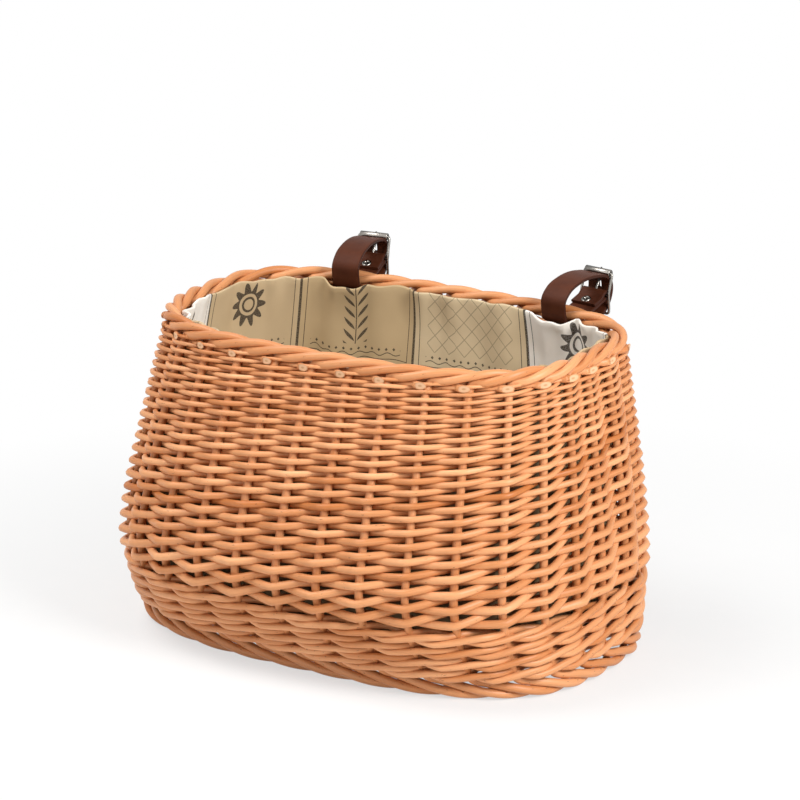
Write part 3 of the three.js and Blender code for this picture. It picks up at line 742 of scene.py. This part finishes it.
# Straps: two belts of brown leather that wrap the back of the border, loop over a handlebar and
# fasten in a buckle. The short end is folded round the buckle's middle bar and riveted to itself.
STRAP_HALF_WIDTH = 0.012
STRAP_HALF_THICKNESS = 0.00125
SEAT_RADIUS = 0.00855
ROLLER_AXLE = np.array([0.045, 0.0255])
MIDDLE_BAR = np.array([0.0409, 0.0081])
LOWER_BAR = np.array([0.0416, -0.0072])
FOLD_RADIUS = 0.00265
LAYER_STEP = 0.0028
STRAP_STATIONS = 220
STRAP_LEAN = 8.42
STRAP_ASIDE = 0.099822
STRAP_BACK = 0.11021
EDGE_ROUND = 0.0009
TONGUE_LENGTH = 0.009
RIVET_SETBACK = 0.012
LAYER_SETBACKS = np.array([0.007, 0.0095, 0.0135, 0.0165])
HOLE_PLACE = np.array([0.0335, 0.0253])
PUNCH_REACH = 0.006
TAIL = np.array([
    [34.9, -11.8], [38.3, -6.4], [43.3, -0.9], [47.1, 6.3], [48.3, 13.2], [47.2, 18.0],
    [44.5, 21.3], [40.7, 23.6],
]) / 1000
TOP = np.array([
    [31, 25.9], [19, 26.8], [6, 25.2], [-6.5, 20.4], [-13.2, 12.3], [-13.0, 6], [-11.9, 0.5],
    [-9.4, -4.6],
]) / 1000
bar_angle = np.arctan2(MIDDLE_BAR[1], MIDDLE_BAR[0])
run_slope = bar_angle + np.arcsin((SEAT_RADIUS - FOLD_RADIUS) / np.linalg.norm(MIDDLE_BAR))
run_along = np.array([np.cos(run_slope), np.sin(run_slope)])
run_up = np.array([-run_along[1], run_along[0]])
run_end = MIDDLE_BAR - FOLD_RADIUS * run_up
rivet_place = run_end - RIVET_SETBACK * run_along


def arc(centre, radius, start, end, count):
    """Points of a circle between two turns."""
    turn = np.linspace(start, end, count)
    return centre + radius * np.stack([np.cos(turn), np.sin(turn)], -1)


def flat_in_strap(points):
    """Points of Y and Z in the middle of a strap, where X is nought."""
    return np.concatenate([np.zeros((len(points), 1)), points], 1)


seat = arc(np.zeros(2), SEAT_RADIUS, 1.25 * np.pi, run_slope + 1.5 * np.pi, 12)
run = np.linspace(seat[-1], run_end, 9)[1:-1]
fold = arc(MIDDLE_BAR, FOLD_RADIUS, run_slope - 0.5 * np.pi, run_slope + 0.56 * np.pi, 9)
layer = run_end - LAYER_SETBACKS[:, None] * run_along + LAYER_STEP * run_up
belt_points = flat_in_strap(np.concatenate([TAIL, TOP, seat, run, fold, layer]))
strap_line = smooth_line(belt_points, STRAP_STATIONS)
strap_along = unit(np.gradient(strap_line, axis=0))
strap_across = np.stack([np.zeros(STRAP_STATIONS), -strap_along[:, 2], strap_along[:, 1]], -1)
quarter = np.linspace(0, 0.5 * np.pi, 5)
corner_x = STRAP_HALF_WIDTH - EDGE_ROUND * (1 - np.cos(quarter))
corner_y = STRAP_HALF_THICKNESS - EDGE_ROUND * (1 - np.sin(quarter))
face_x = np.linspace(corner_x[-1], 0, 6)[1:-1]
face_y = np.full(4, STRAP_HALF_THICKNESS)
half = np.stack([np.concatenate([corner_x, face_x]), np.concatenate([corner_y, face_y])], -1)
half = np.concatenate([half, half[::-1] * [-1, 1]])
belt_section = np.concatenate([half, half[::-1] * [1, -1]])


def set_in(side, points):
    """Points of a strap's own frame moved to where it is fixed: its X runs along the border, its Y
    out of the basket and its Z up."""
    mirror = 1 if side == "right" else -1
    lean = np.radians(-STRAP_LEAN * mirror)
    axes = np.array([[np.cos(lean), np.sin(lean), 0], [-np.sin(lean), np.cos(lean), 0], [0, 0, 1]])
    return points @ axes + [STRAP_ASIDE * mirror + MIDDLE[0], STRAP_BACK, RIM_HEIGHT]


def belt_rings():
    """The belt: its section carried along the line, its width along X and its thickness across the
    line, and its free end narrowed to a tongue."""
    step = np.linalg.norm(np.diff(strap_line, axis=0), axis=1)
    reach = np.concatenate([[0], np.cumsum(step)])
    width = 1 - 0.75 * np.clip(1 - reach / TONGUE_LENGTH, 0, 1) ** 2.2
    ring = strap_line[:, None] + strap_across[:, None] * belt_section[None, :, 1, None]
    ring[:, :, 0] = belt_section[None, :, 0] * width[:, None]
    return ring


def closed_block(name, one, two):
    """A block between two outlines of as many points."""
    count = len(one)
    faces = grid_faces(2, count).tolist() + end_caps(0, count, count)
    return add_piece(name, np.concatenate([one, two]), faces, 0)


def slot_cutter(name, inner, outer, start, end, half_width):
    """A block for cutting a slot: part of a ring round the middle bar."""
    start, end = np.radians(start), np.radians(end)
    outline = [arc(MIDDLE_BAR, outer, start, end, 12), arc(MIDDLE_BAR, inner, end, start, 12)]
    outline = flat_in_strap(np.concatenate(outline))
    return closed_block(name, outline - [half_width, 0, 0], outline + [half_width, 0, 0])


def hole_punch(name, centre, along, across, radius):
    """A round peg through the belt at a place, with the belt's directions along and across it."""
    turn = np.arange(16)[:, None] * np.pi / 8
    ring = centre + radius * (np.cos(turn) * ACROSS + np.sin(turn) * along)
    return closed_block(name, ring - PUNCH_REACH * across, ring + PUNCH_REACH * across)


def leather_finish():
    """Waxed leather: a fine pebbled grain, a slow change of tone, and darker burnished edges."""
    material, tree, inputs = new_finish("brown_leather")
    where = Value(node(tree, "ShaderNodeTexCoord").outputs["Object"])
    pebbles = Value(node(tree, "ShaderNodeTexVoronoi", i0=where, i2=1500.0).outputs[0])
    fine = noise(where, (2600, 2600, 2600), 3)
    tone = spread(noise(where, (60, 60, 60), 3), 0.3, 0.7)
    colour = blended(tone, (0.053, 0.0135, 0.0055, 1), (0.082, 0.0220, 0.0090, 1))
    colour = blended(spread(fine, 0.4, 0.8, 0.0, 0.3), colour, (0.105, 0.036, 0.018, 1))
    edge = spread(read(tree, "edge"), 0.93, 0.99, 0.0, 0.7)
    put(inputs["Base Color"], blended(edge, colour, (0.033, 0.012, 0.008, 1)))
    put(inputs["Roughness"], spread(fine, 0.3, 0.7, 0.46, 0.60))
    inputs["Specular IOR Level"].default_value = 0.10
    relief(inputs, pebbles + fine * 0.5, 0.25, 0.0002)
    return material


leather = leather_finish()
hole = int(np.argmin(np.linalg.norm(strap_line[:120, 1:] - HOLE_PLACE, axis=1)))
rivet_at, run_forward, run_upward = flat_in_strap(np.stack([rivet_place, run_along, run_up]))

for side in ("left", "right"):
    ring = belt_rings()
    sides = ring.shape[1]
    faces = grid_faces(STRAP_STATIONS, sides).tolist()
    faces += end_caps(0, (STRAP_STATIONS - 1) * sides, sides)
    strap = add_piece(f"{side}_leather_strap", ring, faces)
    edge = np.abs(belt_section[:, 0]) / STRAP_HALF_WIDTH
    add_values(strap.data, "edge", np.broadcast_to(edge, ring.shape[:2]))
    cutters = [
        slot_cutter("prong_slot", 0.0062, 0.015, 23, 73, 0.0016),
        slot_cutter("fold_slot", 0.0005, 0.0055, 5, 86, 0.0026),
        slot_cutter("eye_slot", 0.0002, 0.0030, 0, 359, 0.0026),
        hole_punch("belt_hole", strap_line[hole], strap_along[hole], strap_across[hole], 0.0018),
        hole_punch("rivet_hole", rivet_at, run_forward, run_upward, 0.0017),
    ]
    for cutter in cutters:
        cut = strap.modifiers.new(cutter.name, "BOOLEAN")
        cut.object = cutter
        cut.solver = "EXACT"
    bpy.context.view_layer.update()
    settled = strap.evaluated_get(bpy.context.evaluated_depsgraph_get())
    whole = bpy.data.meshes.new_from_object(settled)
    strap.modifiers.clear()
    strap.data = whole
    for cutter in cutters:
        bpy.data.objects.remove(cutter)
    places = np.zeros(len(whole.vertices) * 3)
    whole.vertices.foreach_get("co", places)
    whole.vertices.foreach_set("co", set_in(side, places.reshape(-1, 3)).ravel())
    whole.polygons.foreach_set("use_smooth", np.ones(len(whole.polygons), bool))
    whole.set_sharp_from_angle(angle=0.7)
    whole.materials.clear()
    whole.materials.append(leather)
    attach(strap, f"{side}_strap")
    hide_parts(f"{side}_strap")

# Buckles: nickel-plated roller buckles. A bent wire frame with a middle bar, a loose roller on its
# top bar, and a prong curled round the middle bar whose tip lies on the roller. A hollow rivet
# holds the strap's fold.
WIRE = 0.0011
WIRE_SIDES = 12
FRAME_HALF_WIDTH = 0.0137
FRAME_STATIONS = 150
ROLLER_HALF_LENGTH = 0.0123
ROLLER_BORE = 0.0014
ROLLER_SKIN = 0.0029
ROLLER_EASE = 0.0003
CURL_RADIUS = 0.0019
PRONG_STATIONS = 70
RIVET_BORE = 0.0014
RIVET_SHANK = 0.0016
RIVET_LIP = 0.0006
RIVET_RIM = 0.0029


def bend(before, at, after, reach):
    """Points of the bend at a corner: a curve that leaves one side and joins the next within a
    reach."""
    start, end = at + reach * unit(before - at), at + reach * unit(after - at)
    s = np.linspace(0, 1, 6)[:, None]
    return (1 - s) ** 2 * start + 2 * s * (1 - s) * at + s**2 * end


def nickel_finish():
    """Nickel plate with fine scratches and a dulled patch here and there, and a painted reflection:
    the colour darkens towards the edges that turn away from the camera. This stands for a dark
    studio mirrored in the plate.
    """
    material, tree, inputs = new_finish("nickel_plate")
    where = Value(node(tree, "ShaderNodeTexCoord").outputs["Object"])
    dull = noise(where, (190, 190, 190), 4)
    scratched = dull + noise(where, (300, 5200, 5200), 2) * 0.4
    # Painted reflection: the colour darkens to near black where the plate turns away from the
    # camera. This stands for a dark studio mirrored in it.
    facing = Value(node(tree, "ShaderNodeLayerWeight", i0=0.35).outputs["Facing"])
    colour = blended(spread(dull, 0.35, 0.75), (0.40, 0.375, 0.34, 1), (0.27, 0.25, 0.225, 1))
    put(inputs["Base Color"], blended(spread(facing, 0.05, 0.55), colour, (0.06, 0.055, 0.05, 1)))
    put(inputs["Roughness"], spread(scratched, 0.4, 1.0, 0.16, 0.38))
    inputs["Metallic"].default_value = 1.0
    return material


def wire_piece(name, side, line, girths):
    """A round wire along a line of a strap's own frame."""
    count = len(line)
    facing = np.broadcast_to([0.31, 0.55, 0.77], (1, count, 3))
    rings = tube_rings(line[None], np.broadcast_to(girths, (1, count)), facing, WIRE_SIDES)[0]
    faces = grid_faces(count, WIRE_SIDES).tolist()
    caps = end_caps(0, (count - 1) * WIRE_SIDES, WIRE_SIDES)
    return add_piece(name, set_in(side, rings.reshape(-1, 3)), faces + caps, len(faces))


def turned_piece(name, side, profile, centre, axis):
    """A closed profile of radius and length turned round an axis through a centre."""
    segments = 32
    first = unit(np.cross(axis, [0.2, 0.9, 0.4]))
    second = np.cross(axis, first)
    turn = np.arange(segments)[:, None] * 2 * np.pi / segments
    spoke = np.cos(turn) * first + np.sin(turn) * second
    profile = np.concatenate([profile, profile[:1]])
    points = centre + profile[:, None, 0, None] * spoke + profile[:, None, 1, None] * axis
    faces = grid_faces(len(profile), segments) % ((len(profile) - 1) * segments)
    return add_piece(name, set_in(side, points[:-1].reshape(-1, 3)), faces.tolist())


nickel = nickel_finish()
axle, middle_bar, lower_bar = flat_in_strap(np.stack([ROLLER_AXLE, MIDDLE_BAR, LOWER_BAR]))
right = np.array([FRAME_HALF_WIDTH, 0, 0])
half_frame = np.concatenate([
    [axle + [0.0002, 0, 0], axle + [0.006, 0, 0]],
    bend(axle, axle + right, middle_bar + right, 0.0022),
    [0.5 * (axle + middle_bar) + right, middle_bar + right, 0.5 * (lower_bar + middle_bar) + right],
    bend(middle_bar + right, lower_bar + right, lower_bar, 0.0030),
    [lower_bar + [0.006, 0, 0]],
])
frame_points = np.concatenate([half_frame, [lower_bar], half_frame[::-1] * [-1, 1, 1]])
frame_line = smooth_line(frame_points, FRAME_STATIONS)
bar_line = np.linspace(middle_bar - right, middle_bar + right, 6)
prong_keys = np.array([
    [48.8, 27.9], [49.0, 26.5], [49.05, 24.9], [48.6, 22.2], [47.5, 19.4], [45.6, 16.6],
    [44.1, 14.2], [43.0, 11.9],
]) / 1000
curl = arc(MIDDLE_BAR, CURL_RADIUS, np.radians(46), np.radians(46 - 300), 16)
prong_line = smooth_line(flat_in_strap(np.concatenate([prong_keys, curl])), PRONG_STATIONS)
prong_share = [0, 0.05, 0.55, 0.72, 1]
prong_girth = [0.0006, 0.0009, 0.001, 0.0008, 0.0006]
prong_girth = np.interp(np.linspace(0, 1, PRONG_STATIONS), prong_share, prong_girth)
end, eased_end = ROLLER_HALF_LENGTH, ROLLER_HALF_LENGTH - ROLLER_EASE
eased_skin = ROLLER_SKIN - ROLLER_EASE
tube = np.array([
    [ROLLER_BORE, -end], [eased_skin, -end], [ROLLER_SKIN, -eased_end],
    [ROLLER_SKIN, eased_end], [eased_skin, end], [ROLLER_BORE, end],
])
rivet_top, rivet_low = STRAP_HALF_THICKNESS + LAYER_STEP, -STRAP_HALF_THICKNESS
rim_turn = np.linspace(0, np.pi, 9)
rim_radius = RIVET_RIM + 0.0012 * np.cos(rim_turn)
rim_height = rivet_top + 0.0011 * np.sin(rim_turn)
eyelet = np.concatenate([
    [[RIVET_BORE, rivet_low - RIVET_LIP], [0.0030, rivet_low - RIVET_LIP], [0.0032, rivet_low]],
    [[RIVET_SHANK, rivet_low], [RIVET_SHANK, rivet_top]],
    np.stack([rim_radius, rim_height], -1),
    [[RIVET_BORE, rivet_top - RIVET_LIP]],
])

for side in ("left", "right"):
    strap_body, roller_body, prong_body = f"{side}_strap", f"{side}_roller", f"{side}_prong"
    frame_wire = wire_piece(f"{side}_buckle_wire", side, frame_line, WIRE)
    middle_wire = wire_piece(f"{side}_middle_bar", side, bar_line, 0.95 * WIRE)
    roller = turned_piece(f"{side}_buckle_roller", side, tube, axle, ACROSS)
    prong = wire_piece(f"{side}_buckle_prong", side, prong_line, prong_girth)
    rivet = turned_piece(f"{side}_hollow_rivet", side, eyelet, rivet_at, run_upward)
    for piece, body, *stands_for in (
        (frame_wire, strap_body, f"{side}_buckle_frame"),
        (middle_wire, strap_body),
        (roller, roller_body, f"{side}_roller"),
        (prong, prong_body, f"{side}_prong"),
        (rivet, strap_body, f"{side}_rivet"),
    ):
        piece.data.materials.append(nickel)
        piece.data.set_sharp_from_angle(angle=0.9)
        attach(piece, body)
        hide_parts(*stands_for)

# Studio: a wide pale floor that keeps the basket's shadow and clears to white away from it, three
# soft lamps, and a camera a few metres off, looking down a little at the basket's right front.
FLOOR_REACH = 6.0
FLOOR_DROP = 0.0004
CAMERA_TURN = 32.08
CAMERA_LIFT = 18.1
CAMERA_DISTANCE = 3.0
LENS = 169.2
AIM_UP = 0.0527
AIM_RIGHT = 0.0039
corners = FLOOR_REACH * np.array([[-1, -1, 0], [1, -1, 0], [1, 1, 0], [-1, 1, 0]]) - FLOOR_DROP * UP
floor = add_piece("studio_floor", corners, [[0, 1, 2, 3]])


def seen_straight(tree):
    """One for what the camera sees, also mirrored or through glass, and nought for stray light."""
    ways = node(tree, "ShaderNodeLightPath").outputs
    seen = Value(ways["Is Camera Ray"]).step("MAXIMUM", Value(ways["Is Glossy Ray"]))
    return seen.step("MAXIMUM", Value(ways["Is Transmission Ray"]))


paper = bpy.data.materials.new("pale_paper")
paper.use_nodes = True
tree = paper.node_tree
tree.nodes.clear()
where = Value(node(tree, "ShaderNodeTexCoord").outputs["Object"])
away = Value(node(tree, "ShaderNodeVectorMath", operation="LENGTH", i0=where).outputs["Value"])
clearing = seen_straight(tree) * spread(away, 0.22, 0.60, 0.62, 1.0)
paper_colour = blended(noise(where, (40, 40, 40), 2), (0.80, 0.80, 0.79, 1), (0.84, 0.84, 0.83, 1))
matte = node(tree, "ShaderNodeBsdfDiffuse", i0=paper_colour).outputs[0]
white = node(tree, "ShaderNodeEmission", i0=(1, 1, 1, 1), i1=1.0).outputs[0]
sheet = node(tree, "ShaderNodeMixShader", i0=clearing, i1=matte, i2=white).outputs[0]
put(node(tree, "ShaderNodeOutputMaterial").inputs[0], sheet)
floor.data.materials.append(paper)

world = bpy.data.worlds.new("studio")
bpy.context.scene.world = world
world.use_nodes = True
tree = world.node_tree
tree.nodes.clear()
strength = spread(seen_straight(tree), 0.0, 1.0, 0.20, 1.0)
backdrop = node(tree, "ShaderNodeBackground", i0=(1, 1, 1, 1), i1=strength).outputs[0]
put(node(tree, "ShaderNodeOutputWorld").inputs[0], backdrop)


def from_basket(turn, lift):
    """The direction from the basket to a place seen at a turn round it and a lift above it."""
    turn, lift = np.radians(turn), np.radians(lift)
    return Vector((np.sin(turn) * np.cos(lift), -np.cos(turn) * np.cos(lift), np.sin(lift)))


aim = Vector((*MIDDLE, 0.13))
for name, turn, lift, distance, size, power in (
    ("key_softbox", 74, 33, 1.9, 0.7, 36.0),
    ("fill_softbox", -20, 12, 2.2, 1.6, 9.0),
    ("top_softbox", -56, 60, 1.9, 1.0, 26.0),
):
    lamp = bpy.data.lights.new(name, "AREA")
    lamp.energy = power
    lamp.shape = "SQUARE"
    lamp.size = size
    holder = bpy.data.objects.new(name, lamp)
    holder.location = aim + distance * from_basket(turn, lift)
    holder.rotation_euler = from_basket(turn, lift).to_track_quat("Z", "Y").to_euler()
    bpy.context.scene.collection.objects.link(holder)

back = from_basket(CAMERA_TURN, CAMERA_LIFT)
rightward = Vector((-back.y, back.x, 0)).normalized()
lens = bpy.data.cameras.new("camera")
lens.lens = LENS
lens.sensor_width = 36
camera = bpy.data.objects.new("camera", lens)
camera.location = aim + CAMERA_DISTANCE * back
sight = aim + AIM_UP * back.cross(rightward) + AIM_RIGHT * rightward - camera.location
camera.rotation_euler = sight.to_track_quat("-Z", "Y").to_euler()
bpy.context.scene.collection.objects.link(camera)
bpy.context.scene.camera = camera
bpy.context.scene.view_settings.view_transform = "Standard"
